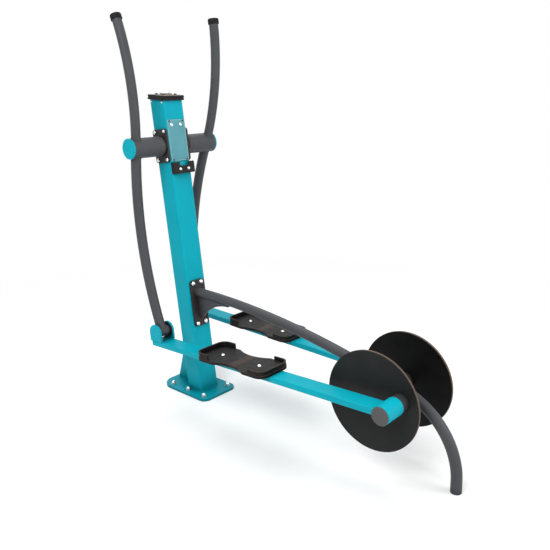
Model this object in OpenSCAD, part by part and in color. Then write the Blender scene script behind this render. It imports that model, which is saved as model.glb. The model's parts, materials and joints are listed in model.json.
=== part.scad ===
// Outdoor cross trainer for parks: a leaning post on a base plate, two swinging
// handles, two foot bars with pedals, and a crank with two plain discs.
// Millimetres. +X runs from the post to the discs, +Y to the right side, +Z up.
// The origin is on the ground, midway between the base plate's anchor holes.

/* [Post and base] */
// Forward lean of the post from the vertical, in degrees
post_lean = 5.6; // [5:0.1:6.2]
// Depth of the post tube, from its front face to its rear face
post_d = 98; // [94:1:104]
// Width of the post tube
post_w = 112; // [106:1:118]
// Wall of the post tube
post_wall = 5; // [4:0.5:6]
// Place of the post's middle line at ground level
post_x = 22; // [18:1:26]
// Height of the middle of the post's top edge over the handles' pivot line
post_above = 206; // [180:2:230]
// Slope of the post's cap down to the rear, in degrees
cap_slope = 4.4; // [3:0.2:6]
// Thickness of the base plate
base_t = 12; // [10:1:15]
// Width of the base plate
base_w = 216; // [206:2:230]
// Reach of the base plate to the front
base_front = 184; // [176:2:190]
// Reach of the base plate to the rear
base_rear = 152; // [148:2:162]
// Spacing of the anchor holes along the plate, from end to end
anchor_x = 228; // [220:2:236]
// Spacing of the anchor holes across the plate
anchor_y = 158; // [152:2:164]
// Diameter of the anchor holes
anchor_hole = 14; // [13.5:0.5:15]
// Height of the triangular rib in front of the post
rib_h = 320; // [280:5:340]
// Reach of the rib's foot to the front
rib_front = 158; // [145:1:164]

/* [Handles] */
// Height of the handles' pivot line
pivot_h = 1200; // [1190:1:1210]
// Distance from the handles' pivot to the lower hinge
handle_arm = 843; // [841:0.5:845]
// Distance from the middle plane to the handles
handle_y = 208; // [205:0.5:211]
// Diameter of the handle tubes above the sleeve
handle_d = 42.4; // [40:0.2:44]
// Diameter of the handle tubes below the sleeve
lower_d = 46; // [44:0.5:48]
// Wall of the handle tubes
handle_wall = 3; // [2:0.5:4]
// Half of the angle that the lower part of a handle bends through
lower_bend = 14.4; // [13.5:0.1:15.3]
// Bending radius of the upper part of a handle
upper_r = 1088; // [1060:2:1110]
// Angle that the upper part of a handle bends through
upper_bend = 29.6; // [28:0.1:31]
// Slope of the upper part where it leaves the sleeve
upper_lean = 14.3; // [13.4:0.1:15.4]
// Diameter of the rotating pivot sleeves
sleeve_d = 90; // [88:1:94]
// Outer end of the pivot sleeves' caps, from the middle plane
sleeve_end = 242.5; // [239:0.5:246]

/* [Foot bars] */
// Distance from the lower hinge to the crank pin
bar_link = 1235; // [1233:0.5:1237]
// Width of the foot bar tube
bar_w = 78; // [74:1:82]
// Height of the foot bar tube
bar_h = 25; // [22:1:27]
// Distance of the bar's middle line under the lower hinge
bar_drop = 54; // [53:1:58]
// Reach of the bar in front of the lower hinge
bar_front = 28; // [24:1:36]
// Width of the fork over its ears
fork_w = 82; // [80:1:86]
// Thickness of the fork ears
ear_t = 9; // [8:0.5:10]
// Radius of the ears' round tops
ear_r = 39; // [37:0.5:39]

/* [Pedals] */
// Length of a pedal
pedal_l = 392; // [380:2:400]
// Width of a pedal
pedal_w = 172; // [160:2:178]
// Distance from the lower hinge to the pedal's front end
pedal_start = 331; // [320:1:345]
// Thickness of the pedal's floor
pedal_t = 12; // [10:1:14]
// Height of the front rim over the pedal's underside
rim_front_h = 36; // [32:1:40]
// Height of the rear rim over the pedal's underside
rim_rear_h = 29; // [26:1:34]

/* [Crank] */
// Distance from the origin to the crank shaft, along the machine
crank_x = 1109; // [1107:0.5:1111]
// Height of the crank shaft
crank_z = 320; // [318:0.5:322]
// Distance from the crank shaft to a crank pin
crank_throw = 126.5; // [124:0.5:129]
// Angle of the left crank pin over the horizontal, in degrees
crank_phase = 16.4; // [14:0.2:19]
// Diameter of the crank discs
disc_d = 390; // [380:2:400]
// Thickness of the crank discs
disc_t = 10; // [8:1:12]
// Outer face of the crank discs, from the middle plane
disc_y = 126; // [124:0.5:128]
// Diameter of the crank pins
pin_d = 25; // [24:1:26]

/* [Rear leg] */
// Diameter of the rear leg tube
leg_d = 42.4; // [40:0.2:44]
// Wall of the rear leg tube
leg_wall = 4; // [3:0.5:4.5]
// Height of the leg's middle line where it leaves the post bracket
leg_start_z = 508; // [504:0.5:512]
// Height of the leg's middle line over the crank shaft
leg_over = 32.6; // [31:0.2:34]
// Reach of the leg's long rise behind the crank shaft
leg_past = 75.5; // [70:0.5:80]

/* [Hidden] */
$fn = 64;
clear = 0.5;          // gap between faces that turn on each other
run = 0.05;           // radial clearance of a shaft in a bearing
tan_lean = tan(post_lean);
post_half_x = post_d / 2 / cos(post_lean);
function post_mid(z) = post_x - z * tan_lean;
function post_rear(z) = post_mid(z) + post_half_x;
function post_front(z) = post_mid(z) - post_half_x;
post_top = pivot_h + post_above;

// The linkage. Points are [x, z] in the handles' and the crank's plane.
pivot = [post_mid(pivot_h), pivot_h];
crank = [crank_x, crank_z];
throw = crank_throw * [cos(crank_phase), sin(crank_phase)];
function crank_pin(s) = s < 0 ? crank + throw : crank - throw;
function lower_crossing(a, ra, b, rb) =
  let (d = norm(b - a), u = (b - a) / d, f = (ra * ra - rb * rb + d * d) / (2 * d))
  a + f * u + sqrt(ra * ra - f * f) * [u[1], -u[0]];
function hinge(s) = lower_crossing(pivot, handle_arm, crank_pin(s), bar_link);
function arm_angle(s) = atan2(hinge(s)[0] - pivot[0], pivot[1] - hinge(s)[1]);
function link_angle(s) = let (v = crank_pin(s) - hinge(s)) atan2(v[1], v[0]);
bar_tilt = atan(bar_drop / bar_link);

// The pivot on each side of the post
flange_t = 8;
flange_w = 97;
flange_h = 150;
flange_y = post_w / 2;
collar_end = flange_y + flange_t + 8;
sleeve_start = collar_end + 1;
sleeve_cap_t = 6;
sleeve_bore = 80;
axle_d = 40;
axle_end = 216;
pivot_bearing_w = 18;

// The lower hinge
hinge_pin_d = 25;
barrel_d = 50;
barrel_bore = 34;
fork_gap = fork_w - 2 * ear_t;
bush_flange = 4;
bush_flange_d = 2 * ear_r - 8;
barrel_l = fork_gap - 2 * bush_flange - 2 * clear;

// The crank pin end of a foot bar
pin_housing_d = 70;
pin_collar_d = 67;
pin_housing_in = 166;
pin_housing_out = 262.5;
pin_cap_t = 4;
pin_bearing_d = 52;
pin_bearing_w = 15;

// The crank
shaft_d = 25;
hub_d = 56;
hub_in = 90;
arm_t = 10;
arm_w = 60;
arm_screw_x = [46, 92];
arm_screw_y = 18;
disc_in = disc_y - disc_t;
crank_housing_d = 57;
crank_housing_half = 86;
crank_bearing_d = 47;
crank_bearing_w = 12;

// The rear leg: a long rise over the crank shaft, a tight bend and a straight foot
bracket_t = 8;
bracket_w = 88;
bracket_h = 226;
bracket_z = 450;
leg_start = [post_rear(leg_start_z) + bracket_t / cos(post_lean) - 8, leg_start_z];
leg_heading = -0.14;
leg_normal = [sin(leg_heading), -cos(leg_heading)];
leg_pass = crank + [0, leg_over] - leg_start;
leg_rise_r = leg_pass * leg_pass / (2 * leg_pass * leg_normal);
leg_rise_end = leg_start[0] + leg_rise_r * leg_normal[0] - crank_x - leg_past;
leg_rise_turn = leg_heading - asin(leg_rise_end / leg_rise_r);
leg_bend_r = 299;
leg_bend_turn = 90 + leg_heading - leg_rise_turn;
leg_arcs = [[leg_rise_r, leg_rise_turn], [leg_bend_r, leg_bend_turn]];
function leg_turn(i) = i == 0 ? leg_heading : leg_turn(i - 1) - leg_arcs[i - 1][1];
function leg_centre(i) =
  leg_point(i) + leg_arcs[i][0] * [sin(leg_turn(i)), -cos(leg_turn(i))];
function leg_point(i) = i == 0 ? leg_start
  : leg_centre(i - 1) + leg_arcs[i - 1][0] * [-sin(leg_turn(i)), cos(leg_turn(i))];

// Fasteners: diameter of the shank, of the domed head, and the head's height
m12 = [12, 22, 7];
m10 = [10, 18, 6];
m8 = [8, 14, 5];
m5 = [5, 9, 2.5];

paint = [0.05, 0.62, 0.72];
dark_steel = [0.27, 0.27, 0.29];
black = [0.08, 0.08, 0.08];
steel = [0.8, 0.8, 0.82];
board = [0.15, 0.15, 0.15];

// Plane shapes

module rounded_rect(l, w, r) {
  square([l - 2 * r, w], center = true);
  square([l, w - 2 * r], center = true);
  for (x = [-1, 1], y = [-1, 1]) translate([x * (l / 2 - r), y * (w / 2 - r)]) circle(r);
}

module ring(d, bore) {
  difference() {
    circle(d = d);
    circle(d = bore);
  }
}

// Solids

// A tube or rod along +Y, from y0 to y1; a bore of 0 makes it solid
module along_y(d, y0, y1, bore = 0) {
  translate([0, y0, 0]) rotate([-90, 0, 0])
    linear_extrude(y1 - y0) if (bore > 0) ring(d, bore); else circle(d = d);
}

// A bent tube in the XZ plane round c = [x, z], from angle a0 to a1; without a bore a rod
module bent_tube(c, r, a0, a1, d, bore = 0) {
  steps = 24;
  translate([c[0], 0, c[1]]) rotate([90, 0, 0]) rotate([0, 0, a0])
    rotate_extrude(angle = a1 - a0, $fn = round(steps * 360 / (a1 - a0)))
      translate([r, 0]) if (bore > 0) ring(d, bore, $fn = 64); else circle(d = d, $fn = 64);
}

// A ball bearing along +Y from y0, with the shields set back in both faces
module bearing(d, bore, w, y0) {
  translate([0, y0, 0]) rotate([-90, 0, 0]) difference() {
    linear_extrude(w) ring(d, bore);
    for (z = [-1, w - 1]) translate([0, 0, z]) linear_extrude(2)
      ring(d - (d - bore) * 0.28, bore + (d - bore) * 0.28);
  }
}

// A domed bolt that stands on the plane z = 0; its shank runs down
module domed_bolt(size, shank) {
  cap_r = (pow(size[1] / 2, 2) + pow(size[2], 2)) / (2 * size[2]);
  intersection() {
    translate([0, 0, size[2] - cap_r]) sphere(cap_r);
    cylinder(d = size[1], h = size[2]);
  }
  translate([0, 0, -shank]) cylinder(d = size[0], h = shank + size[2] / 3);
}

// Frames of reference

// Built on the right side, and mirrored for the left one
module on_side(s) {
  mirror([0, s < 0 ? 1 : 0, 0]) children();
}

// Origin at the handle pivot, with the lower hinge straight below
module handle_frame(s) {
  on_side(s) translate([pivot[0], 0, pivot[1]]) rotate([0, -arm_angle(s), 0]) children();
}

// Origin at the lower hinge, +X to the crank pin
module bar_frame(s) {
  on_side(s) translate([hinge(s)[0], 0, hinge(s)[1]]) rotate([0, -link_angle(s), 0])
    children();
}

// Origin at the crank pin
module pin_frame(s) {
  on_side(s) translate([crank_pin(s)[0], 0, crank_pin(s)[1]]) children();
}

// On the post's middle line at height z, +Z up along the post
module post_frame(z) {
  translate([post_mid(z), 0, z]) rotate([0, -post_lean, 0]) children();
}

// On the post's rear face at height z: +Z out of the face, +X across, +Y up the post
module rear_face(z) {
  post_frame(z) translate([post_d / 2, 0, 0]) rotate([90, 0, 90]) children();
}

// The anchor holes' centres
module at_anchors() {
  for (x = [-1, 0, 1], y = [-1, 1]) translate([x * anchor_x / 2, y * anchor_y / 2, 0])
    children();
}

// Base and post

front_corner = 75;

module base_plate() {
  color(paint) difference() {
    translate([(base_rear - base_front) / 2, 0, 0]) linear_extrude(base_t) intersection() {
      rounded_rect(base_front + base_rear, base_w, 38);
      translate([front_corner, 0])
        rounded_rect(base_front + base_rear + 2 * front_corner, base_w, front_corner);
    }
    at_anchors() translate([0, 0, -1]) cylinder(d = anchor_hole, h = base_t + 2);
  }
}

module base_rib() {
  rib_t = 8;
  toe_h = 12;
  top = base_t + rib_h;
  color(paint) translate([0, rib_t / 2, 0]) rotate([90, 0, 0]) linear_extrude(rib_t)
    polygon([[post_front(base_t), base_t], [-rib_front, base_t],
      [-rib_front, base_t + toe_h], [post_front(top), top]]);
}

// A washer and a closed nut over each anchor hole, open below for the ground stud
module anchor_nuts() {
  washer_t = 2.5;
  nut_h = 6.5;
  stud_d = 13;
  color(steel) at_anchors() translate([0, 0, base_t]) difference() {
    union() {
      cylinder(d = 26, h = washer_t);
      translate([0, 0, washer_t]) cylinder(d = 21.9, h = nut_h, $fn = 6);
      translate([0, 0, washer_t + nut_h]) sphere(d = 18.8);
    }
    translate([0, 0, -base_t]) cylinder(d = stud_d, h = base_t + 12);
  }
}

// Origin where the post's middle line meets the cap, +Z square to the cap
module cap_frame() {
  translate([post_mid(post_top), 0, post_top]) rotate([0, cap_slope, 0]) children();
}

module post_hollow_frame() {
  post_frame(post_top / 2) children();
}

module post_hollow() {
  linear_extrude(2 * post_top, center = true)
    rounded_rect(post_d - 2 * post_wall, post_w - 2 * post_wall, 4);
}

module post() {
  color(paint) difference() {
    intersection() {
      post_frame(post_top / 2) linear_extrude(2 * post_top, center = true)
        rounded_rect(post_d, post_w, 8);
      translate([-post_top, -post_w, base_t]) cube(2 * post_top);
      cap_frame() translate([-post_top, -post_w, -2 * post_top]) cube(2 * post_top);
    }
    post_hollow_frame() post_hollow();
    at_flange_bolts() cylinder(d = m10[0], h = 60, center = true);
    at_bracket_bolts() cylinder(d = m12[0], h = 60, center = true);
    at_holder_bolts() cylinder(d = m8[0], h = 60, center = true);
    at_plate_screws() cylinder(d = m5[0], h = 40, center = true);
    at_plate_rivets() cylinder(d = m8[0], h = 40, center = true);
    at_cap_rivets() cylinder(d = m5[0], h = 40, center = true);
  }
}

cap_over = 8;
cap_h = 20;
cap_l = post_d / cos(post_lean + cap_slope) + 2 * cap_over;
cap_w = post_w + 2 * cap_over;
cap_r = 9;
spigot_h = 22;
spigot_wall = 8;
cover_t = 2;

// Two stacked rims over the post's end and a spigot inside it
module post_cap() {
  rim_h = 9;
  groove_h = 3;
  color(black) {
    cap_frame() difference() {
      union() {
        linear_extrude(rim_h) rounded_rect(cap_l, cap_w, cap_r);
        linear_extrude(rim_h + groove_h) rounded_rect(cap_l - 5, cap_w - 5, cap_r - 2);
        translate([0, 0, rim_h + groove_h]) linear_extrude(cap_h - rim_h - groove_h)
          rounded_rect(cap_l, cap_w, cap_r);
      }
      at_cap_screws() cylinder(d = m5[0], h = 3 * cap_h, center = true);
    }
    difference() {
      intersection() {
        post_hollow_frame() post_hollow();
        cap_frame() translate([-cap_l, -cap_w, -spigot_h])
          cube([2 * cap_l, 2 * cap_w, spigot_h + rim_h / 2]);
      }
      post_hollow_frame() linear_extrude(2 * post_top, center = true)
        rounded_rect(post_d - 2 * (post_wall + spigot_wall),
          post_w - 2 * (post_wall + spigot_wall), 4);
      at_cap_rivets() cylinder(d = m5[0], h = 40, center = true);
    }
  }
}

module at_cap_screws() {
  for (x = [-1, 1], y = [-1, 1]) translate([x * 22.5, y * 36, 0]) children();
}

// A thin plate over the cap with a raised block in the middle
module cap_cover() {
  color([0.62, 0.56, 0.5]) cap_frame() translate([0, 0, cap_h]) difference() {
    union() {
      linear_extrude(cover_t) rounded_rect(cap_l - 6, cap_w - 6, cap_r - 3);
      linear_extrude(cover_t + 6) rounded_rect(44, 42, 5);
    }
    at_cap_screws() cylinder(d = m5[0], h = 20, center = true);
  }
}

module at_cap_rivets() {
  for (s = [-1, 1], x = [-1, 1]) on_side(s) cap_frame()
    translate([x * 38, post_w / 2, -9]) rotate([-90, 0, 0]) children();
}

module cap_fixings() {
  color(black) cap_frame() translate([0, 0, cap_h + cover_t]) at_cap_screws()
    domed_bolt([m5[0], 16, 7], cap_h - 6);
  color(steel) at_cap_rivets() domed_bolt(m5, post_wall + 4);
}

// The handles' pivot on the post

module at_flange_bolts() {
  for (s = [-1, 1], x = [-1, 1], z = [-1, 1]) on_side(s) post_frame(pivot_h)
    translate([x * 33, flange_y + flange_t, z * 63]) rotate([-90, 0, 0]) children();
}

// Bolted plates on the post's sides, each with the fixed collar of the pivot
module axle_flanges() {
  color(dark_steel) for (s = [-1, 1]) difference() {
    on_side(s) post_frame(pivot_h) {
      translate([0, flange_y, 0]) rotate([-90, 0, 0])
        linear_extrude(flange_t) rounded_rect(flange_w, flange_h, 14);
      along_y(sleeve_d - 4, flange_y + flange_t, collar_end);
    }
    on_side(s) post_frame(pivot_h) along_y(axle_d, 0, handle_y);
    at_flange_bolts() cylinder(d = m10[0], h = 40, center = true);
  }
}

module pivot_axles() {
  color(steel) for (s = [-1, 1]) on_side(s) translate([pivot[0], 0, pivot[1]])
    difference() {
      along_y(axle_d, flange_y, axle_end);
      along_y(m12[0], axle_end - 30, axle_end + 1);
    }
}

module flange_bolts() {
  color(steel) at_flange_bolts() domed_bolt(m10, flange_t + post_wall + 6);
}

module axle_retainers() {
  color(steel) for (s = [-1, 1]) on_side(s)
    translate([pivot[0], axle_end, pivot[1]]) rotate([-90, 0, 0]) {
      cylinder(d = 54, h = 4);
      translate([0, 0, 4]) cylinder(d = 21, h = 7, $fn = 6);
      translate([0, 0, -28]) cylinder(d = m12[0], h = 30);
    }
}

// Plates on the post's rear face

info_w = 102;
info_h = 186;
info_t = 2;
info_z = pivot_h + 20;

module at_plate_screws() {
  rear_face(info_z) for (x = [-1, 1], y = [-1, 1])
    translate([x * (info_w / 2 - 12), y * (info_h / 2 - 6), info_t]) children();
}

module at_plate_rivets() {
  rear_face(info_z) for (x = [-1, 1])
    translate([x * 26, info_h / 2 - 23, info_t]) children();
}

module info_plate() {
  color([0.55, 0.68, 0.7]) difference() {
    rear_face(info_z) linear_extrude(info_t) rounded_rect(info_w, info_h, 3);
    at_plate_screws() cylinder(d = m5[0], h = 20, center = true);
    at_plate_rivets() cylinder(d = m8[0], h = 20, center = true);
  }
}

holder_w = 118;
holder_h = 52;
holder_d = 24;
holder_t = 5;
holder_z = pivot_h - 104;

module holder_bosses() {
  for (x = [-1, 1]) translate([x * 24, -6, 0]) children();
}

module at_holder_bolts() {
  rear_face(holder_z) translate([0, 0, holder_d]) holder_bosses() children();
}

// An open tray with a wide notch in front and two bosses for the bolts
module phone_holder() {
  notch_w = 52;
  notch_h = 42;
  color(black) difference() {
    rear_face(holder_z) difference() {
      linear_extrude(holder_d) rounded_rect(holder_w, holder_h, holder_t);
      difference() {
        translate([-holder_w / 2 + holder_t, -holder_h / 2 + holder_t, holder_t])
          cube([holder_w - 2 * holder_t, holder_h, holder_d - 2 * holder_t]);
        holder_bosses() cylinder(d = 16, h = holder_d);
      }
      translate([0, holder_h / 2 + 4, holder_d / 2]) linear_extrude(holder_d)
        rounded_rect(notch_w, notch_h, holder_t);
    }
    at_holder_bolts() cylinder(d = m8[0], h = 3 * holder_d, center = true);
  }
}

module rear_face_screws() {
  color(steel) {
    at_plate_screws() domed_bolt(m5, post_wall + 4);
    at_plate_rivets() domed_bolt([m8[0], 15, 4], post_wall + 4);
    at_holder_bolts() domed_bolt(m8, holder_d + post_wall + 4);
  }
}

// Rear leg

module at_bracket_bolts() {
  rear_face(bracket_z) for (x = [-1, 1], y = [-1, 1])
    translate([x * (bracket_w / 2 - 19), y * (bracket_h / 2 - 14), bracket_t]) children();
}

module leg_bracket() {
  color(dark_steel) difference() {
    rear_face(bracket_z) linear_extrude(bracket_t) rounded_rect(bracket_w, bracket_h, 16);
    at_bracket_bolts() cylinder(d = m12[0], h = 40, center = true);
  }
}

module leg_bracket_bolts() {
  color(steel) at_bracket_bolts() domed_bolt(m12, bracket_t + post_wall + 6);
}

// The seam, in degrees, keeps the two arcs one solid where they meet
module leg_rise(d, bore = 0) {
  seam = 0.0005;
  bent_tube(leg_centre(0), leg_arcs[0][0], 90 + leg_turn(1) + seam, 90 + leg_turn(0), d, bore);
}

// Everything in front of the bracket's rear face
module before_bracket() {
  rear_face(bracket_z) translate([0, 0, bracket_t - post_d])
    linear_extrude(post_d) square(3 * bracket_h, center = true);
}

// The tube bends in two arcs and stands upright on the ground
module rear_leg() {
  foot = leg_point(2);
  bore = leg_d - 2 * leg_wall;
  color(dark_steel) {
    difference() {
      leg_rise(leg_d, bore);
      before_bracket();
      translate([crank[0], 0, crank[1]]) along_y(crank_housing_d, -leg_d, leg_d);
    }
    translate([foot[0], 0, foot[1]]) {
      bent_tube([-leg_arcs[1][0], 0], leg_arcs[1][0], 0, leg_arcs[1][1], leg_d, bore);
      translate([0, 0, -foot[1]]) {
        linear_extrude(foot[1]) ring(leg_d, bore);
        cylinder(d = bore, h = 6);
      }
    }
  }
}

// A web with a hollow edge under the leg at the bracket, and one over the crank shaft
module leg_webs() {
  web_t = 10;
  web_low = bracket_z - 73;
  web_top = leg_start_z + 2;
  hollow_r = 237;
  hollow = [leg_start[0] + 215.5, web_low - 142];
  color(dark_steel) difference() {
    translate([0, web_t / 2, 0]) rotate([90, 0, 0]) linear_extrude(web_t) {
      difference() {
        polygon([[post_rear(web_low), web_low], hollow + [0, hollow_r],
          [hollow[0], leg_start_z - 10], [post_rear(web_top), web_top]]);
        translate(hollow) circle(hollow_r, $fn = 128);
      }
      polygon([crank + [-120, 64], crank + [-16, -20], crank + [16, -20],
        crank + [68, -2], crank + [68, 20], crank + [0, 40]]);
    }
    leg_rise(leg_d);
    before_bracket();
    translate([crank[0], 0, crank[1]]) along_y(crank_housing_d, -leg_d, leg_d);
  }
}

// Crank

module crank_housing() {
  color(dark_steel) translate([crank[0], 0, crank[1]])
    along_y(crank_housing_d, -crank_housing_half, crank_housing_half, crank_bearing_d);
}

module crank_bearings() {
  color(steel) translate([crank[0], 0, crank[1]]) for (s = [-1, 1]) on_side(s)
    bearing(crank_bearing_d, shaft_d + 2 * run, crank_bearing_w,
      crank_housing_half - crank_bearing_w - 2);
}

module crank_shaft() {
  color(steel) translate([crank[0], 0, crank[1]]) along_y(shaft_d, -disc_in, disc_in);
}

// Origin at the crank shaft on a disc's inner face: +X to the crank pin, +Z outwards
module arm_frame(s) {
  on_side(s) translate([crank[0], disc_in, crank[1]])
    rotate([0, s < 0 ? -crank_phase : 180 - crank_phase, 0]) rotate([-90, 0, 0]) children();
}

module arm_screw_points() {
  for (x = arm_screw_x, y = [-1, 1]) translate([x, y * arm_screw_y, 0]) children();
}

// The four screws of each crank arm, on the arm's inner face
module at_arm_screws(s) {
  arm_frame(s) translate([0, 0, -arm_t]) arm_screw_points() rotate([180, 0, 0]) children();
}

module crank_disc(s) {
  color(board) difference() {
    on_side(s) translate([crank[0], 0, crank[1]]) along_y(disc_d, disc_in, disc_y);
    at_arm_screws(s) translate([0, 0, -arm_t - 8]) cylinder(d = m8[0], h = 20);
  }
}

// A hub on the shaft and a flat arm that carries the disc and the crank pin
module crank_arms() {
  color(dark_steel) for (s = [-1, 1]) arm_frame(s) difference() {
    union() {
      translate([0, 0, hub_in - disc_in]) cylinder(d = hub_d, h = disc_in - hub_in - arm_t);
      translate([0, 0, -arm_t]) linear_extrude(arm_t) {
        circle(d = arm_w);
        translate([0, -arm_w / 2]) square([crank_throw, arm_w]);
        translate([crank_throw, 0]) circle(d = arm_w);
      }
    }
    translate([0, 0, hub_in - disc_in - 1]) cylinder(d = shaft_d, h = disc_in);
    arm_screw_points() cylinder(d = m8[0], h = 4 * arm_t, center = true);
  }
}

module arm_screws() {
  color(steel) for (s = [-1, 1]) at_arm_screws(s) domed_bolt(m8, arm_t + 7);
}

// Bosses on the discs' outer faces that hold the crank pins
module pin_collars() {
  color(black) for (s = [-1, 1]) pin_frame(s)
    along_y(pin_collar_d, disc_y, pin_housing_in - clear);
}

// Handles

module pivot_sleeve(s) {
  color(dark_steel) handle_frame(s)
    along_y(sleeve_d, sleeve_start, sleeve_end - sleeve_cap_t, sleeve_bore);
}

module pivot_bearings(s) {
  color(steel) handle_frame(s) for (y = [sleeve_start + 3, axle_end - 2 - pivot_bearing_w])
    bearing(sleeve_bore, axle_d + 2 * run, pivot_bearing_w, y);
}

module sleeve_cap(s) {
  color(paint) handle_frame(s) {
    along_y(sleeve_d + 0.6, sleeve_end - sleeve_cap_t, sleeve_end);
    along_y(sleeve_bore, sleeve_end - sleeve_cap_t - 5, sleeve_end - sleeve_cap_t, 70);
  }
}

// Both tubes meet the sleeve this far behind the pivot line
handle_start = 7;
lower_r = handle_arm / 2 / sin(lower_bend);

module handle_lower(s) {
  color(dark_steel) handle_frame(s) difference() {
    translate([0, handle_y, -handle_arm]) rotate([0, atan(handle_start / handle_arm), 0])
      bent_tube([lower_r * cos(lower_bend), handle_arm / 2], lower_r,
        180 - lower_bend, 180 + lower_bend, lower_d, lower_d - 2 * handle_wall);
    along_y(sleeve_d, 0, 2 * handle_y);
    translate([0, 0, -handle_arm]) along_y(barrel_d, 0, 2 * handle_y);
  }
}

upper_centre = [handle_start, 0] + upper_r * [-cos(upper_lean), sin(upper_lean)];

module handle_upper(s) {
  color(dark_steel) handle_frame(s) difference() {
    translate([0, handle_y, 0]) bent_tube(upper_centre, upper_r, -upper_lean,
      upper_bend - upper_lean, handle_d, handle_d - 2 * handle_wall);
    along_y(sleeve_d, 0, 2 * handle_y);
  }
}

// A rubber cap on the top end, a little wider than the tube
module grip_cap(s) {
  cap_d = 50;
  socket = 15;
  edge = 6;
  top = 9;
  end_turn = upper_bend - upper_lean;
  tip = upper_centre + upper_r * [cos(end_turn), sin(end_turn)];
  color(black) handle_frame(s) translate([tip[0], handle_y, tip[1]])
    rotate([0, -end_turn, 0]) difference() {
      rotate_extrude() {
        translate([0, -socket]) square([cap_d / 2, socket + top - edge]);
        translate([0, top - edge]) square([cap_d / 2 - edge, edge]);
        intersection() {
          translate([cap_d / 2 - edge, top - edge]) circle(edge);
          translate([0, top - edge]) square([cap_d / 2, edge]);
        }
      }
      translate([0, 0, -socket - 1]) cylinder(d = handle_d + 1, h = socket + 1);
    }
}

module hinge_barrel(s) {
  color(dark_steel) handle_frame(s) translate([0, 0, -handle_arm])
    along_y(barrel_d, handle_y - barrel_l / 2, handle_y + barrel_l / 2, barrel_bore);
}

// A bush with a wide flange in each end of the barrel
module hinge_bushes(s) {
  bore = hinge_pin_d + 2 * run;
  color(board) handle_frame(s) translate([0, handle_y, -handle_arm])
    for (m = [-1, 1]) on_side(m) {
      along_y(barrel_bore, barrel_l / 2 - 20, barrel_l / 2, bore);
      along_y(bush_flange_d, barrel_l / 2, barrel_l / 2 + bush_flange, bore);
    }
}

// Foot bars

// Origin under the lower hinge on the bar's middle line, +X along the bar
module bar_line(s) {
  bar_frame(s) translate([0, handle_y, -bar_drop]) rotate([0, -bar_tilt, 0]) children();
}

module pin_housing_space(s) {
  pin_frame(s) along_y(pin_housing_d, pin_housing_in - 50, pin_housing_out + 50);
}

module foot_bar(s) {
  wall = 3;
  color(paint) difference() {
    bar_line(s) difference() {
      translate([-bar_front, 0, 0]) rotate([90, 0, 90]) linear_extrude(bar_link + bar_front)
        rounded_rect(bar_w, bar_h, 4);
      translate([wall - bar_front, 0, 0]) rotate([90, 0, 90]) linear_extrude(bar_link + bar_front)
        rounded_rect(bar_w - 2 * wall, bar_h - 2 * wall, 1.5);
    }
    pin_housing_space(s);
    at_pedal_bolts(s) cylinder(d = m10[0], h = 200, center = true);
  }
}

// Two round-topped plates on the bar, one each side of the barrel
module fork_ears(s) {
  rise = bar_drop * cos(bar_tilt);
  foot = rise - bar_h / 2;
  color(paint) bar_line(s) translate([bar_drop * sin(bar_tilt), 0, rise])
    for (m = [-1, 1]) on_side(m) difference() {
      union() {
        along_y(2 * ear_r, fork_gap / 2, fork_w / 2);
        translate([-ear_r, fork_gap / 2, -foot]) cube([2 * ear_r, ear_t, foot]);
      }
      along_y(hinge_pin_d, 0, fork_w);
    }
}

module hinge_pin(s) {
  color(paint) bar_frame(s)
    along_y(hinge_pin_d, handle_y - fork_w / 2, handle_y + fork_w / 2);
}

module pin_housing(s) {
  color(paint) pin_frame(s)
    along_y(pin_housing_d, pin_housing_in, pin_housing_out - pin_cap_t, pin_bearing_d);
}

// A plug with a chamfered edge
module housing_cap(s) {
  r = pin_housing_d / 2 - 1;
  chamfer = 1.5;
  spigot = [22, pin_bearing_d / 2];
  depth = 5;
  color([0.4, 0.4, 0.4]) pin_frame(s) translate([0, pin_housing_out - pin_cap_t, 0])
    rotate([-90, 0, 0]) rotate_extrude() polygon([[0, 0], [spigot[0], 0],
      [spigot[0], -depth], [spigot[1], -depth], [spigot[1], 0], [r, 0],
      [r, pin_cap_t - chamfer], [r - chamfer, pin_cap_t], [0, pin_cap_t]]);
}

// The pin with a head that keeps the bearings on
module crank_pin(s) {
  bearing_out = pin_housing_out - pin_cap_t - 16;
  color(steel) pin_frame(s) {
    along_y(pin_d, pin_housing_in, bearing_out);
    along_y(34, bearing_out, bearing_out + 6);
  }
}

module pin_bearings(s) {
  bearing_out = pin_housing_out - pin_cap_t - 16;
  color(steel) pin_frame(s)
    for (y = [pin_housing_in + 4, bearing_out - pin_bearing_w])
      bearing(pin_bearing_d, pin_d, pin_bearing_w, y);
}

// Pedals

pedal_corner = 40;
pedal_bolt_front = 111;
pedal_bolt_rear = 102;

// Origin at the middle of the pedal's underside, on the bar
module pedal_frame(s) {
  bar_line(s) translate([pedal_start + pedal_l / 2, 0, bar_h / 2]) children();
}

module at_pedal_bolts(s) {
  pedal_frame(s) for (x = [-pedal_bolt_front, pedal_bolt_rear])
    translate([x, 0, pedal_t]) children();
}

module pedal_outline(inset) {
  rounded_rect(pedal_l - 2 * inset, pedal_w - 2 * inset, pedal_corner - inset);
}

// Part of a rim that stands a little inside the outline, from x0 to x1
module rim(x0, x1, h) {
  lip = 1.5;
  wall = 7;
  linear_extrude(h) intersection() {
    difference() {
      pedal_outline(lip);
      pedal_outline(lip + wall);
    }
    translate([x0, -pedal_w / 2]) square([x1 - x0, pedal_w]);
  }
}

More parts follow.
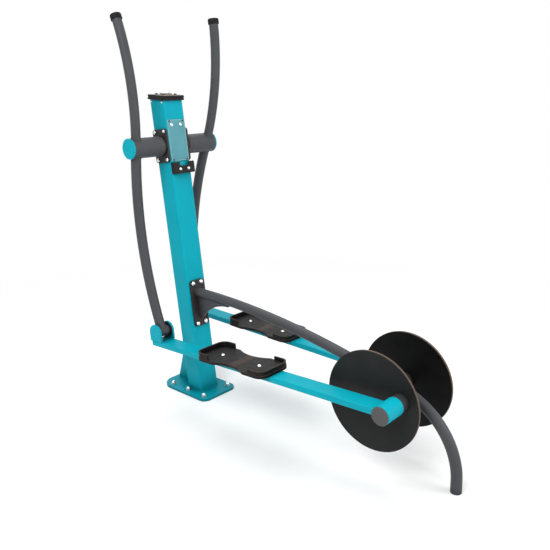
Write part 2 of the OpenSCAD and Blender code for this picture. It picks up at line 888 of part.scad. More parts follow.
// A floor with a waist, and a rim round each end
module pedal(s) {
  waist = 24;
  waist_half = 88;
  waist_x = -3;
  front_rim = 79;
  rear_rim = 82;
  waist_r = (waist_half * waist_half + waist * waist) / (2 * waist);
  color(black) difference() {
    pedal_frame(s) {
      linear_extrude(pedal_t) difference() {
        pedal_outline(0);
        for (y = [-1, 1]) translate([waist_x, y * (pedal_w / 2 - waist + waist_r)])
          circle(waist_r, $fn = 96);
      }
      rim(-pedal_l / 2, -pedal_l / 2 + front_rim, rim_front_h);
      rim(pedal_l / 2 - rear_rim, pedal_l / 2, rim_rear_h);
    }
    at_pedal_bolts(s) cylinder(d = m10[0], h = 60, center = true);
  }
}

// Domed bolts down through the pedal and the bar, with nuts underneath
module pedal_bolts(s) {
  through = pedal_t + bar_h;
  color(steel) at_pedal_bolts(s) {
    domed_bolt(m10, through + 10);
    translate([0, 0, -through - 8]) cylinder(d = 19.6, h = 8, $fn = 6);
  }
}

base_plate();
base_rib();
anchor_nuts();
post();
post_cap();
cap_cover();
cap_fixings();
axle_flanges();
pivot_axles();
flange_bolts();
axle_retainers();
info_plate();
phone_holder();
rear_face_screws();
leg_bracket();
leg_bracket_bolts();
leg_webs();
rear_leg();
crank_housing();
crank_bearings();
crank_shaft();
crank_disc(-1);  // left_disc
crank_disc(1);  // right_disc
crank_arms();
arm_screws();
pin_collars();
pivot_sleeve(-1);  // left_pivot_sleeve
pivot_bearings(-1);  // left_pivot_bearings
sleeve_cap(-1);  // left_sleeve_cap
handle_lower(-1);  // left_handle_lower
handle_upper(-1);  // left_handle_upper
grip_cap(-1);  // left_grip_cap
hinge_barrel(-1);  // left_hinge_barrel
hinge_bushes(-1);  // left_hinge_bushes
pivot_sleeve(1);  // right_pivot_sleeve
pivot_bearings(1);  // right_pivot_bearings
sleeve_cap(1);  // right_sleeve_cap
handle_lower(1);  // right_handle_lower
handle_upper(1);  // right_handle_upper
grip_cap(1);  // right_grip_cap
hinge_barrel(1);  // right_hinge_barrel
hinge_bushes(1);  // right_hinge_bushes
foot_bar(-1);  // left_foot_bar
fork_ears(-1);  // left_fork_ears
hinge_pin(-1);  // left_hinge_pin
pin_housing(-1);  // left_pin_housing
housing_cap(-1);  // left_housing_cap
crank_pin(-1);  // left_crank_pin
pin_bearings(-1);  // left_pin_bearings
pedal(-1);  // left_pedal
pedal_bolts(-1);  // left_pedal_bolts
foot_bar(1);  // right_foot_bar
fork_ears(1);  // right_fork_ears
hinge_pin(1);  // right_hinge_pin
pin_housing(1);  // right_pin_housing
housing_cap(1);  // right_housing_cap
crank_pin(1);  // right_crank_pin
pin_bearings(1);  // right_pin_bearings
pedal(1);  // right_pedal
pedal_bolts(1);  // right_pedal_bolts
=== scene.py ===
"""Looks of the outdoor cross trainer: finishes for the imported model, its welds and washers,
a plain pale floor, soft studio light and the photograph's camera."""
import json
import math

import bmesh
import bpy
from mathutils import Matrix, Vector
from mathutils.bvhtree import BVHTree


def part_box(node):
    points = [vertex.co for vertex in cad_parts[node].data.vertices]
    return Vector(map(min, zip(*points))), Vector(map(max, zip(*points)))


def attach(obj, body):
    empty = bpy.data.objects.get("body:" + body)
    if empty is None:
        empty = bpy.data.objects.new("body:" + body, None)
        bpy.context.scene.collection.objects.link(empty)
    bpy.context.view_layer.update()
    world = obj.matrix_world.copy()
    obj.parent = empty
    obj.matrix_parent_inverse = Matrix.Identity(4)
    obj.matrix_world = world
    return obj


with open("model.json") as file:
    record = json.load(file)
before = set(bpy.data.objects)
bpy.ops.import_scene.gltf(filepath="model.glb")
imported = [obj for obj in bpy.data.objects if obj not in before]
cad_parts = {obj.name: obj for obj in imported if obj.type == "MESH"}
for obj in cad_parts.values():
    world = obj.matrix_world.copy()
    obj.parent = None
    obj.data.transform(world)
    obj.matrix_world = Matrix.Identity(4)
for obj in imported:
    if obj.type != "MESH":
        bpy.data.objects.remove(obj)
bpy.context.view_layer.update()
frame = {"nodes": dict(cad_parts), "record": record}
nodes = frame["nodes"]
scene = bpy.context.scene

MM = 0.001
SIDES = ("left", "right")
X, Y, Z = range(3)
UP = Vector((0, 0, 1))


# Colours, as linear red, green and blue

CYAN = (0.001, 0.370, 0.466)
GREY = (0.071, 0.072, 0.078)
CHARCOAL = (0.036, 0.033, 0.033)
BROWN_EDGE = (0.105, 0.06, 0.05)
COLLAR = (0.040, 0.040, 0.044)
END_CAP = (0.094, 0.091, 0.093)
# Lighter edge of the end cap: a painted highlight on its chamfer
END_CAP_HIGHLIGHT = (0.19, 0.185, 0.185)
BOARD = (0.0155, 0.0155, 0.0155)
BOARD_CORE_DARK = (0.073, 0.047, 0.036)
BOARD_CORE_PALE = (0.135, 0.094, 0.074)
TREAD = (0.0225, 0.0218, 0.0214)
TREAD_WORN = (0.125, 0.078, 0.058)
TREAD_EDGE = (0.14, 0.09, 0.072)
PLATE = (0.095, 0.31, 0.355)
PLATE_BORDER = (0.26, 0.47, 0.50)
BLACK = (0.006, 0.006, 0.006)
RUBBER = (0.008, 0.008, 0.008)
COVER = (0.24, 0.20, 0.17)
STEEL = (0.78, 0.78, 0.79)
INNER_STEEL = (0.42, 0.42, 0.43)
FLOOR = (0.8, 0.8, 0.8)


# Finishes

class Finish:
    """A material whose nodes read the object's own coordinates, in metres."""

    # Rays of the nodes that look around a point
    SAMPLES = 6
    # How far the cosine between rounded and flat normal falls on an edge
    EDGE_FALL = 0.16

    def __init__(self, name, colour, roughness, metallic=0.0, specular=0.5):
        self.material = bpy.data.materials.new(name)
        self.material.use_nodes = True
        self.tree = self.material.node_tree
        self.bsdf = self.tree.nodes["Principled BSDF"]
        self.bsdf.inputs["Base Color"].default_value = (*colour, 1)
        self.bsdf.inputs["Roughness"].default_value = roughness
        self.bsdf.inputs["Metallic"].default_value = metallic
        self.bsdf.inputs["Specular IOR Level"].default_value = specular
        self.place = self.node("ShaderNodeTexCoord").outputs["Object"]
        self.surface = self.node("ShaderNodeNewGeometry").outputs

    def node(self, kind, inputs=None, **settings):
        """A new node with its settings, and each input linked or set."""
        made = self.tree.nodes.new(kind)
        for key, value in settings.items():
            setattr(made, key, value)
        for key, value in (inputs or {}).items():
            if isinstance(value, bpy.types.NodeSocket):
                self.tree.links.new(value, made.inputs[key])
            else:
                made.inputs[key].default_value = value
        return made

    def noise(self, scale, detail=2.0, stretch=(1, 1, 1)):
        """Noise of about 1 / scale metres, drawn out along an axis where stretch is small."""
        place = self.node("ShaderNodeMapping", {"Vector": self.place, "Scale": stretch})
        return self.node("ShaderNodeTexNoise", {
            "Vector": place.outputs[0], "Scale": scale, "Detail": detail}).outputs["Fac"]

    def span(self, value, start, end, low=0.0, high=1.0):
        """Value between start and end, eased into the range from low to high."""
        return self.node("ShaderNodeMapRange", {
            "Value": value, "From Min": start, "From Max": end,
            "To Min": low, "To Max": high}, interpolation_type="SMOOTHSTEP").outputs[0]

    def calc(self, operation, a, b=0.0):
        return self.node("ShaderNodeMath", {0: a, 1: b}, operation=operation).outputs[0]

    def dot(self, a, b):
        return self.node("ShaderNodeVectorMath", {0: a, 1: b},
            operation="DOT_PRODUCT").outputs["Value"]

    def scaled(self, colour, level):
        """The colour times a level."""
        return self.node("ShaderNodeVectorMath", {0: colour, "Scale": level},
            operation="SCALE").outputs["Vector"]

    def part(self, vector, axis):
        return self.node("ShaderNodeSeparateXYZ", {0: vector}).outputs[axis]

    def mix(self, share, a, b):
        """Colour a where share is 0, colour b where it is 1. A colour mix has its share in
        input 0, its colours in inputs 6 and 7 and its result in output 2."""
        first, second = (c if isinstance(c, bpy.types.NodeSocket) else (*c, 1) for c in (a, b))
        return self.node("ShaderNodeMix", {0: share, 6: first, 7: second},
            data_type="RGBA").outputs[2]

    def laid_over(self, base, colour, share, level):
        """A base with a colour over it where share is 1, at a level of its full strength."""
        return self.mix(self.calc("MULTIPLY", share, level), base, colour)

    def clouded(self, colour, pattern, low, high, start=0.35):
        """The colour, from a low to a high level of it by a pattern."""
        return self.mix(self.span(pattern, start, 0.7), tint(colour, low), tint(colour, high))

    def edges(self, width):
        """The shader's rounded normal, and how much of an edge a point lies on."""
        rounded = self.node("ShaderNodeBevel", {"Radius": width}, samples=self.SAMPLES).outputs[0]
        alike = self.dot(rounded, self.surface["True Normal"])
        return rounded, self.span(alike, 1.0 - self.EDGE_FALL / 8, 1.0 - self.EDGE_FALL)

    def painted_corner_shade(self, colour, reach, darkest):
        """The colour with painted shade: darker in corners, where other surfaces stand within a
        reach.
        """
        space = self.node("ShaderNodeAmbientOcclusion", {"Distance": reach}, samples=self.SAMPLES)
        return self.scaled(colour, self.span(space.outputs["AO"], 0.25, 0.9, low=darkest))

    def set_input(self, name, value):
        self.tree.links.new(value, self.bsdf.inputs[name])

    def set_roughness(self, pattern, low, high):
        self.set_input("Roughness", self.span(pattern, 0.3, 0.7, low, high))

    def set_relief(self, height, depth, normal=None):
        inputs = {"Height": height, "Strength": 1.0, "Distance": depth}
        if normal is not None:
            inputs["Normal"] = normal
        self.set_input("Normal", self.node("ShaderNodeBump", inputs).outputs[0])


def tint(colour, factor):
    return tuple(c * factor for c in colour)


def powder_coat(name, colour, roughness, specular, reach, darkest, edge=None, ground_shade_height=None):
    """Sprayed and baked paint: orange peel, soft clouds, chips along the edges and painted
    shade in the corners. Where a colour is given for the edges, it lies along them: paint
    worn down to brown, and on the end cap a painted highlight. Up to a given height
    above the ground the paint is darker towards it: painted shade."""
    f = Finish(name, colour, roughness, specular=specular)
    normal, on_edge = f.edges(2.2 * MM if edge else 1.2 * MM)
    base = f.clouded(colour, f.noise(5, detail=3), 0.95, 1.05, start=0.3)
    if edge:
        base = f.laid_over(base, edge, on_edge, 0.8)
    else:
        chips = f.calc("MULTIPLY", on_edge, f.span(f.noise(160, detail=4), 0.45, 0.62))
        chipped = tuple(0.75 * c + 0.05 for c in colour)
        base = f.laid_over(base, chipped, chips, 0.5)
    # Painted shade: darker towards the ground, up to the given height
    if ground_shade_height:
        base = f.scaled(base, f.span(f.part(f.place, Z), 0, ground_shade_height, low=0.76))
    f.set_input("Base Color", f.painted_corner_shade(base, reach, darkest))
    f.set_roughness(f.noise(22, detail=4), roughness - 0.04, roughness + 0.06)
    f.set_relief(f.noise(420, detail=1), 0.03 * MM, normal)
    return f.material


def moulded(name, colour, roughness, specular, grain, depth, paint=None):
    """Moulded rubber or plastic with a fine grain and rubbed edges. Paint is a direction, a
    place along it and a colour: walls that face that way, and lie short of it, have it."""
    f = Finish(name, colour, roughness, specular=specular)
    normal, on_edge = f.edges(1.5 * MM)
    base = f.clouded(colour, f.noise(7, detail=4), 0.9, 1.1)
    rubbed = tuple(1.5 * c + 0.01 for c in colour)
    base = f.laid_over(base, rubbed, on_edge, 0.7)
    if paint:
        direction, place, painted = paint
        faces_it = f.calc("GREATER_THAN", f.dot(f.surface["True Normal"], direction), 0.9)
        short_of_it = f.calc("LESS_THAN", f.dot(f.place, direction), place)
        base = f.mix(f.calc("MULTIPLY", faces_it, short_of_it), base, painted)
    # Painted shade in corners
    f.set_input("Base Color", f.painted_corner_shade(base, 12 * MM, 0.5))
    f.set_roughness(f.noise(60, detail=4), roughness - 0.07, roughness + 0.07)
    f.set_relief(f.noise(grain, detail=3), depth, normal)
    return f.material


def metal(name, colour, roughness, stretch=(1, 1, 1)):
    """Bare metal with fine turning or brushing marks along one axis."""
    f = Finish(name, colour, roughness, metallic=1.0)
    normal, _ = f.edges(0.5 * MM)
    marks = f.noise(600, detail=3, stretch=stretch)
    base = f.clouded(colour, marks, 0.9, 1.06, start=0.3)
    # Painted shade in corners
    f.set_input("Base Color", f.painted_corner_shade(base, 9 * MM, 0.25))
    f.set_roughness(f.noise(90, detail=4), roughness - 0.06, roughness + 0.08)
    f.set_relief(marks, 0.01 * MM, normal)
    return f.material


def disc_board(name):
    """Dark faced board: satin outer faces, inner ones darkened as painted shade, and the
    brown core on the rim.
    """
    f = Finish(name, BOARD, 0.42, specular=0.12)
    normal, _ = f.edges(1.0 * MM)
    sideways = f.part(f.surface["Normal"], Y)
    rim = f.span(f.calc("ABSOLUTE", sideways), 0.75, 0.6)
    layers = f.noise(900, stretch=(0.02, 1, 0.02))
    core = f.mix(layers, BOARD_CORE_DARK, BOARD_CORE_PALE)
    # Painted shade: faces that look in towards the middle are darker
    outward = f.calc("MULTIPLY", sideways, f.calc("SIGN", f.part(f.place, Y)))
    faces = f.clouded(BOARD, f.noise(6, detail=5), 0.85, 1.2)
    faces = f.scaled(faces, f.span(outward, -0.5, 0.5, low=0.3))
    f.set_input("Base Color", f.mix(rim, faces, core))
    f.set_roughness(f.noise(30, detail=4), 0.38, 0.5)
    f.set_relief(f.noise(700), 0.02 * MM, normal)
    return f.material


def tread_board(name, middle=None):
    """The same board where it is cut and stepped on: walls darkened as painted shade, brown lines
    on its cut edges, painted shade along its rims, and a worn band across the middle of a
    pedal."""
    f = Finish(name, TREAD, 0.55, specular=0.12)
    normal, on_edge = f.edges(2.2 * MM)
    base = f.clouded(TREAD, f.noise(9, detail=5), 0.92, 1.06)
    if middle is not None:
        off = f.calc("ABSOLUTE", f.calc("SUBTRACT", f.part(f.place, X), middle))
        base = f.laid_over(base, TREAD_WORN, f.span(off, 24 * MM, 17 * MM), 0.27)
    # Painted shade: walls darker than the tread, and the end walls darkest
    facing = f.surface["Normal"]
    base = f.scaled(base, f.span(f.part(facing, Z), 0.3, 0.8, low=0.6))
    endways = f.calc("ABSOLUTE", f.part(facing, X))
    base = f.scaled(base, f.span(endways, 0.6, 0.95, low=1.0, high=0.3))
    base = f.laid_over(base, TREAD_EDGE, on_edge, 0.85)
    # Painted shade along the rims
    f.set_input("Base Color", f.painted_corner_shade(base, 45 * MM, 0.12))
    f.set_roughness(f.noise(40, detail=4), 0.48, 0.62)
    f.set_relief(f.noise(1500), 0.015 * MM, normal)
    return f.material


def satin_plate(name, box):
    """A bare plate with a satin blue-grey face and a paler border line."""
    f = Finish(name, PLATE, 0.4, specular=0.2)
    low, high = box
    near_ends = []
    for axis in (Y, Z):
        middle, half = (low[axis] + high[axis]) / 2, (high[axis] - low[axis]) / 2
        off = f.calc("ABSOLUTE", f.calc("SUBTRACT", f.part(f.place, axis), middle))
        near_ends.append(f.span(off, half - 4.5 * MM, half - 3.8 * MM))
    base = f.clouded(PLATE, f.noise(12, detail=3), 0.94, 1.05, start=0.3)
    border = f.calc("MAXIMUM", *near_ends)
    f.set_input("Base Color", f.laid_over(base, PLATE_BORDER, border, 0.6))
    marks = f.noise(1200, detail=3, stretch=(1, 0.03, 1))
    f.set_roughness(marks, 0.36, 0.46)
    f.set_relief(marks, 0.01 * MM)
    return f.material


def steel_and_black(name, axis, edge, both_sides=False):
    """Small fixings of one node: steel ones up to a place along an axis, black ones past it.
    Both sides means that the place counts either way from the middle."""
    f = Finish(name, BLACK, 0.3)
    place = f.part(f.place, axis)
    if both_sides:
        place = f.calc("ABSOLUTE", place)
    black = f.calc("GREATER_THAN", place, edge)
    f.set_input("Base Color", f.mix(black, STEEL, BLACK))
    f.set_input("Metallic", f.calc("SUBTRACT", 1.0, black))
    f.set_roughness(f.noise(90, detail=4), 0.22, 0.38)
    f.set_relief(f.noise(600, detail=3), 0.01 * MM)
    return f.material


BLACK_PLASTIC = dict(colour=BLACK, roughness=0.45, specular=0.2, grain=700, depth=0.02 * MM)
FINISHES = {
    "cyan_paint": powder_coat("cyan_paint_look", CYAN, roughness=0.4, specular=0.09,
        reach=80 * MM, darkest=0.35, ground_shade_height=120 * MM),
    "grey_paint": powder_coat("grey_paint_look", GREY, roughness=0.42, specular=0.12,
        reach=50 * MM, darkest=0.4),
    "charcoal_paint": powder_coat("charcoal_paint_look", CHARCOAL, roughness=0.46,
        specular=0.16, reach=40 * MM, darkest=0.25, edge=BROWN_EDGE),
    "board": disc_board("board_look"),
    "black_rubber": moulded("black_rubber_look", RUBBER, roughness=0.55, specular=0.14,
        grain=900, depth=0.02 * MM),
    "black_plastic": moulded("black_plastic_look", **BLACK_PLASTIC),
    "cover_plastic": moulded("cover_plastic_look", COVER, roughness=0.5, specular=0.3,
        grain=800, depth=0.03 * MM),
    "bright_steel": metal("bright_steel_look", STEEL, roughness=0.24),
    "inner_steel": metal("inner_steel_look", INNER_STEEL, roughness=0.3,
        stretch=(1, 0.05, 1)),
    "satin_plate": satin_plate("info_plate_look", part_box("info_plate")),
}


def rear_normal():
    """Out of the post's rear face, from the two ends of the info plate."""
    low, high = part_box("info_plate")
    lean = math.atan2(high[X] - low[X], high[Z] - low[Z])
    return Vector((math.cos(lean), 0, math.sin(lean)))


rearward = rear_normal()


def looks_of_nodes():
    """Each node's material: the finish of its slot, or one of its own."""
    slot_of = {s["node"]: s["material_slot"] for s in frame["record"]["subparts"]}
    looks = {name: FINISHES[slot_of[name]] for name in nodes}
    # The webs get deep painted shade where they meet the leg and the bracket
    looks["leg_webs"] = powder_coat("web_look", GREY, roughness=0.42, specular=0.12,
        reach=110 * MM, darkest=0.12, edge=BROWN_EDGE)
    looks["pin_collars"] = powder_coat("collar_look", COLLAR, roughness=0.42, specular=0.14,
        reach=20 * MM, darkest=0.35)
    # The cap's screws are black, and the rivets below its top are steel
    cap_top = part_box("post_cap")[1][Z]
    looks["cap_fixings"] = steel_and_black("cap_fixings_look", Z, cap_top - 20 * MM)
    # The plate's corner screws are black, the rivets and bolts nearer the middle steel
    looks["rear_face_screws"] = steel_and_black("rear_face_screws_look", Y, 33 * MM,
        both_sides=True)
    # The holder's back wall, well behind its front, has the post's colour inside
    tray_front = max(v.co.dot(rearward) for v in nodes["phone_holder"].data.vertices)
    looks["phone_holder"] = moulded("phone_holder_look", **BLACK_PLASTIC,
        paint=(rearward, tray_front - 15 * MM, CYAN))
    # The end cap's edges are lighter: a painted highlight on its chamfer
    end_cap = powder_coat("end_cap_look", END_CAP, roughness=0.42, specular=0.14,
        reach=20 * MM, darkest=0.5, edge=END_CAP_HIGHLIGHT)
    for side in SIDES:
        low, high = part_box(side + "_pedal")
        middle = (low[X] + high[X]) / 2 + 4 * MM
        looks[side + "_pedal"] = tread_board(side + "_pedal_look", middle)
        looks[side + "_hinge_bushes"] = tread_board(side + "_hinge_bushes_look")
        looks[side + "_housing_cap"] = end_cap
    return looks


for name, look in looks_of_nodes().items():
    for used in nodes[name].material_slots:
        used.material = look


# Where pieces are welded or bolted on

SAME_CORNER = 0.01 * MM
WELD_REACH = 0.6 * MM
SHARP_TURN = math.radians(25)
HEAD_HEIGHT = 9 * MM


def joined_mesh(node):
    """A copy of a node's mesh with its split corners joined."""
    bm = bmesh.new()
    bm.from_mesh(nodes[node].data)
    bmesh.ops.remove_doubles(bm, verts=bm.verts, dist=SAME_CORNER)
    return bm


def chains(edges):
    """Edges joined end to end, as lists of corners; a closed one starts and ends alike."""
    left = dict.fromkeys(edges)
    paths = []
    while left:
        edge = next(iter(left))
        del left[edge]
        path = [edge.verts[0], edge.verts[1]]
        for end in (-1, 0):
            while True:
                step = next((e for e in path[end].link_edges if e in left), None)
                if step is None:
                    break
                del left[step]
                corner = step.other_vert(path[end])
                path.insert(len(path) if end else 0, corner)
        paths.append([v.co.copy() for v in path])
    return paths


def length_of(path):
    return sum((b - a).length for a, b in zip(path, path[1:]))


def seams(node, on, share):
    """The sharp edges of a node that lie on another one: where it is welded on. Chains that
    are shorter than a share of the longest one, such as a tube's bore, are left out."""
    bm, base = joined_mesh(node), joined_mesh(on)
    tree = BVHTree.FromBMesh(base)

    def lies_on(point):
        return tree.find_nearest(point, WELD_REACH)[0] is not None

    found = []
    for edge in bm.edges:
        a, b = (v.co for v in edge.verts)
        sharp = len(edge.link_faces) == 2 and edge.calc_face_angle(0) > SHARP_TURN
        if sharp and lies_on(a) and lies_on(b) and lies_on((a + b) / 2):
            found.append(edge)
    paths = chains(found)
    longest = max((length_of(p) for p in paths), default=0)
    bm.free()
    base.free()
    return [p for p in paths if length_of(p) >= share * longest]


def islands(bm):
    """The corners of each separate solid in a mesh."""
    left = set(bm.verts)
    for start in bm.verts:
        if start not in left:
            continue
        left.remove(start)
        island, todo = [], [start]
        while todo:
            corner = todo.pop()
            island.append(corner.co.copy())
            for edge in corner.link_edges:
                other = edge.other_vert(corner)
                if other in left:
                    left.remove(other)
                    todo.append(other)
        yield island


def heads(node, axis):
    """Seat centre and radius of each bolt head that looks along an axis."""
    bm = joined_mesh(node)
    found = []
    for island in islands(bm):
        top = max(p.dot(axis) for p in island)
        head = [p for p in island if p.dot(axis) > top - HEAD_HEIGHT]
        middle = sum(head, Vector()) / len(head)
        flat = [(p - middle) - axis * (p - middle).dot(axis) for p in head]
        radius = max(q.length for q in flat)
        rim = [p for p, q in zip(head, flat) if q.length > 0.9 * radius]
        seat = sum(rim, Vector()) / len(rim)
        foot = min(p.dot(axis) for p in rim)
        found.append((seat + axis * (foot - seat.dot(axis)), radius))
    bm.free()
    return found


# Welds and washers

def evenly(path, step):
    """Points along a path, one step apart."""
    total = length_of(path)
    count = max(2, round(total / step))
    points, walked, i = [], 0.0, 0
    for k in range(count + 1):
        want = total * k / count
        while i < len(path) - 2 and walked + (path[i + 1] - path[i]).length < want:
            walked += (path[i + 1] - path[i]).length
            i += 1
        piece = path[i + 1] - path[i]
        share = (want - walked) / piece.length if piece.length else 0
        points.append(path[i] + piece * min(1, share))
    return points


def across(along, near=None):
    """A direction square to another one, as near as can be to a given one."""
    if near is None:
        return along.orthogonal().normalized()
    return (near - near.dot(along) * along).normalized()


def ring(u, v, count):
    """Directions all the way round in the plane of two that are square to each other."""
    turns = [2 * math.pi * k / count for k in range(count)]
    return [u * math.cos(t) + v * math.sin(t) for t in turns]


class Piece:
    """One new object that rides on a body, collected from beads and washers."""

    BEAD_RADIUS = 2.6 * MM
    BEAD_SIDES = 7
    RIPPLE_LENGTH = 4 * MM
    RIPPLE_ROWS = 3
    WASHER_LIP = 3.2 * MM
    WASHER_HEIGHT = 1.0 * MM
    WASHER_SIDES = 28

    def __init__(self, name, body, slot):
        self.name, self.body, self.slot = name, body, slot
        self.bm = bmesh.new()

    def skin(self, circles, closed):
        """Faces between rows of points, and over the two ends if the rows don't close."""
        rows = [[self.bm.verts.new(p) for p in circle] for circle in circles]
        pairs = list(zip(rows, rows[1:]))
        if closed:
            pairs.append((rows[-1], rows[0]))
        for a, b in pairs:
            for i in range(len(a)):
                j = (i + 1) % len(a)
                self.bm.faces.new((a[i], a[j], b[j], b[i]))
        if not closed:
            self.bm.faces.new(rows[0][::-1])
            self.bm.faces.new(rows[-1])

    def bead(self, path):
        """A weld bead with its ripples; an open one tapers at both ends."""
        closed = (path[0] - path[-1]).length < 0.1 * MM
        points = evenly(path, self.RIPPLE_LENGTH / self.RIPPLE_ROWS)
        if closed:
            points.pop()
        last = len(points) - 1
        u = None
        circles = []
        for i, p in enumerate(points):
            ahead = points[(i + 1) % len(points)] if closed else points[min(i + 1, last)]
            behind = points[i - 1] if closed else points[max(i - 1, 0)]
            along = (ahead - behind).normalized()
            u = across(along, u)
            ripple = 0.11 * math.sin(2 * math.pi * i / self.RIPPLE_ROWS)
            unevenness = 0.05 * math.sin(0.7 * i)
            radius = self.BEAD_RADIUS * (1 + ripple + unevenness)
            if not closed:
                radius *= min(1, 0.35 + 0.3 * min(i, last - i))
            circles.append([p + radius * d for d in ring(u, along.cross(u), self.BEAD_SIDES)])
        self.skin(circles, closed)

    def washer(self, seat, axis, head_radius):
        """A flat ring under a bolt head, with its upper outer edge rounded off."""
        inner, outer = 0.5 * head_radius, head_radius + self.WASHER_LIP
        top = self.WASHER_HEIGHT
        profile = ((inner, 0), (outer, 0), (outer, 0.6 * top), (outer - 0.3 * top, top),
            (inner, top))
        u = across(axis)
        circles = [[seat + out * r + axis * h for r, h in profile]
            for out in ring(u, axis.cross(u), self.WASHER_SIDES)]
        self.skin(circles, True)

    def done(self):
        bmesh.ops.recalc_face_normals(self.bm, faces=self.bm.faces)
        mesh = bpy.data.meshes.new(self.name)
        self.bm.to_mesh(mesh)
        self.bm.free()
        mesh.materials.append(FINISHES[self.slot])
        mesh.shade_smooth()
        thing = bpy.data.objects.new(self.name, mesh)
        scene.collection.objects.link(thing)
        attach(thing, self.body)


# A name, a body, a slot, and pairs of a node and the node that it is welded on
WELDS = [
    ("frame_foot_welds", "frame", "cyan_paint",
        [("post", "base_plate"), ("base_rib", "base_plate"), ("base_rib", "post")]),
    ("frame_leg_welds", "frame", "charcoal_paint",
        [("rear_leg", "leg_bracket"), ("leg_webs", "leg_bracket"), ("leg_webs", "rear_leg"),
        ("rear_leg", "crank_housing")]),
]
for side in SIDES:
    WELDS += [
        (side + "_handle_welds", side + "_handle", "grey_paint",
            [(side + "_handle_lower", side + "_pivot_sleeve"),
            (side + "_handle_upper", side + "_pivot_sleeve"),
            (side + "_handle_lower", side + "_hinge_barrel")]),
        (side + "_footbar_welds", side + "_footbar", "cyan_paint",
            [(side + "_foot_bar", side + "_pin_housing")]),
    ]
for name, body, slot, pairs in WELDS:
    piece = Piece(name, body, slot)
    for node, on in pairs:
        # The webs' seams on the leg differ in length, and a shorter one counts too
        for path in seams(node, on, 0.3 if node == "leg_webs" else 0.95):
            piece.bead(path)
    piece.done()

# A name, a body, the bolts' node and the ways that their heads look
OUTWARD = (Vector((0, 1, 0)), Vector((0, -1, 0)))
WASHERS = [
    ("flange_washers", "frame", "flange_bolts", OUTWARD),
    ("bracket_washers", "frame", "leg_bracket_bolts", [rearward]),
    ("left_pedal_washers", "left_footbar", "left_pedal_bolts", [UP]),
    ("right_pedal_washers", "right_footbar", "right_pedal_bolts", [UP]),
]
for name, body, node, ways in WASHERS:
    piece = Piece(name, body, "black_rubber")
    for way in ways:
        for seat, radius in heads(node, way):
            # A bolt on the far side only shows its other end this way
            if seat.y * way.y >= 0:
                piece.washer(seat, way, radius)
    piece.done()


# Floor, world and lamps

FLOOR_RADIUS = 60
FLOOR_DROP = 0.5 * MM
FLOOR_GLOW = 0.2
FADE_START, FADE_END = 1.2, 3.0
WORLD_LIGHT = 0.45


def stage_floor():
    """A wide pale floor that keeps shadows and fades into the white surroundings."""
    mesh = bpy.data.meshes.new("floor")
    bm = bmesh.new()
    bmesh.ops.create_circle(bm, cap_ends=True, segments=96, radius=FLOOR_RADIUS)
    bm.to_mesh(mesh)
    bm.free()
    floor = bpy.data.objects.new("floor", mesh)
    floor.location.z = -FLOOR_DROP
    scene.collection.objects.link(floor)
    f = Finish("floor_look", FLOOR, 0.9, specular=0.0)
    path = f.node("ShaderNodeLightPath").outputs
    seen = f.calc("MAXIMUM", path["Is Camera Ray"],
        f.calc("MAXIMUM", path["Is Glossy Ray"], path["Is Transmission Ray"]))
    glow = f.node("ShaderNodeEmission", {"Strength": f.calc("MULTIPLY", seen, FLOOR_GLOW)})
    near = f.node("ShaderNodeAddShader", {0: f.bsdf.outputs[0], 1: glow.outputs[0]})
    distance = f.node("ShaderNodeVectorMath", {0: f.place}, operation="LENGTH").outputs["Value"]
    share = f.calc("MULTIPLY", seen, f.span(distance, FADE_START, FADE_END))
    white = f.node("ShaderNodeEmission")
    both = f.node("ShaderNodeMixShader", {0: share, 1: near.outputs[0], 2: white.outputs[0]})
    f.tree.links.new(both.outputs[0], f.tree.nodes["Material Output"].inputs[0])
    mesh.materials.append(f.material)


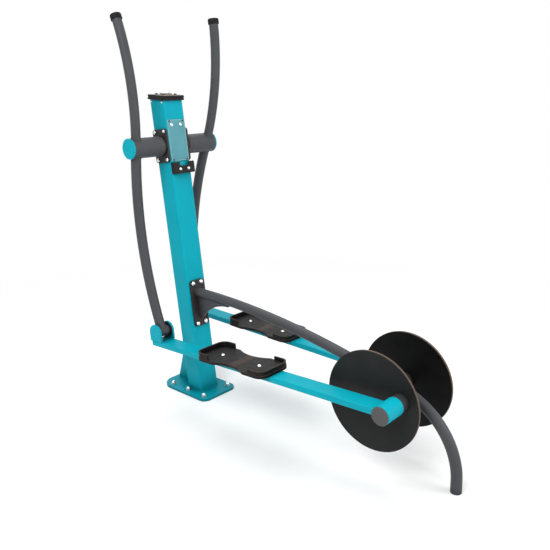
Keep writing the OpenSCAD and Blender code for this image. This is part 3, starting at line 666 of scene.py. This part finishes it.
def white_world(strength):
    """White where it is seen or mirrored, and a softer light everywhere else."""
    world = bpy.data.worlds.new("studio")
    world.use_nodes = True
    scene.world = world
    tree = world.node_tree
    path = tree.nodes.new("ShaderNodeLightPath")
    seen = path.outputs["Is Camera Ray"]
    for other in ("Is Glossy Ray", "Is Transmission Ray"):
        join = tree.nodes.new("ShaderNodeMath")
        join.operation = "MAXIMUM"
        tree.links.new(seen, join.inputs[0])
        tree.links.new(path.outputs[other], join.inputs[1])
        seen = join.outputs[0]
    level = tree.nodes.new("ShaderNodeMapRange")
    level.inputs["To Min"].default_value = strength
    level.inputs["To Max"].default_value = 1.0
    tree.links.new(seen, level.inputs["Value"])
    background = tree.nodes["Background"]
    background.inputs["Color"].default_value = (1, 1, 1, 1)
    tree.links.new(level.outputs[0], background.inputs["Strength"])


def soft_lamp(name, place, target, size, power):
    """A round lamp at a place that shines at a target."""
    data = bpy.data.lights.new(name, "AREA")
    data.shape = "DISK"
    data.size = size
    data.energy = power
    lamp = bpy.data.objects.new(name, data)
    lamp.location = place
    lamp.rotation_euler = (Vector(target) - Vector(place)).to_track_quat("-Z", "Y").to_euler()
    scene.collection.objects.link(lamp)


stage_floor()
white_world(WORLD_LIGHT)
soft_lamp("key_lamp", (1.2, -3.2, 3.6), (0.4, 0, 0.6), size=2.4, power=110)
soft_lamp("top_lamp", (-1.0, 0.6, 4.2), (0.4, 0, 0.3), size=3.0, power=90)
soft_lamp("fill_lamp", (4.0, 1.2, 2.0), (0.5, 0, 0.6), size=2.5, power=72)


# Camera of the photograph

def photo_camera(place, yaw, pitch, roll, lens):
    """A camera turned from the front by yaw, looking down by pitch, tipped by roll."""
    yaw, pitch, roll = (math.radians(a) for a in (yaw, pitch, roll))
    back = Vector((math.sin(yaw) * math.cos(pitch), -math.cos(yaw) * math.cos(pitch),
        math.sin(pitch)))
    level = (-back).cross(UP).normalized()
    rise = level.cross(-back)
    right = math.cos(roll) * level + math.sin(roll) * rise
    up = math.cos(roll) * rise - math.sin(roll) * level
    data = bpy.data.cameras.new("camera")
    data.sensor_width = 36
    data.lens = lens
    data.clip_end = 200
    camera = bpy.data.objects.new("camera", data)
    turn = Matrix((right, up, back)).transposed()
    camera.matrix_world = Matrix.LocRotScale(Vector(place), turn, None)
    scene.collection.objects.link(camera)
    scene.camera = camera


photo_camera((2.27695, -1.90595, 1.39423), yaw=42.462, pitch=15.531, roll=-1.6115, lens=41.404)
scene.view_settings.view_transform = "Standard"
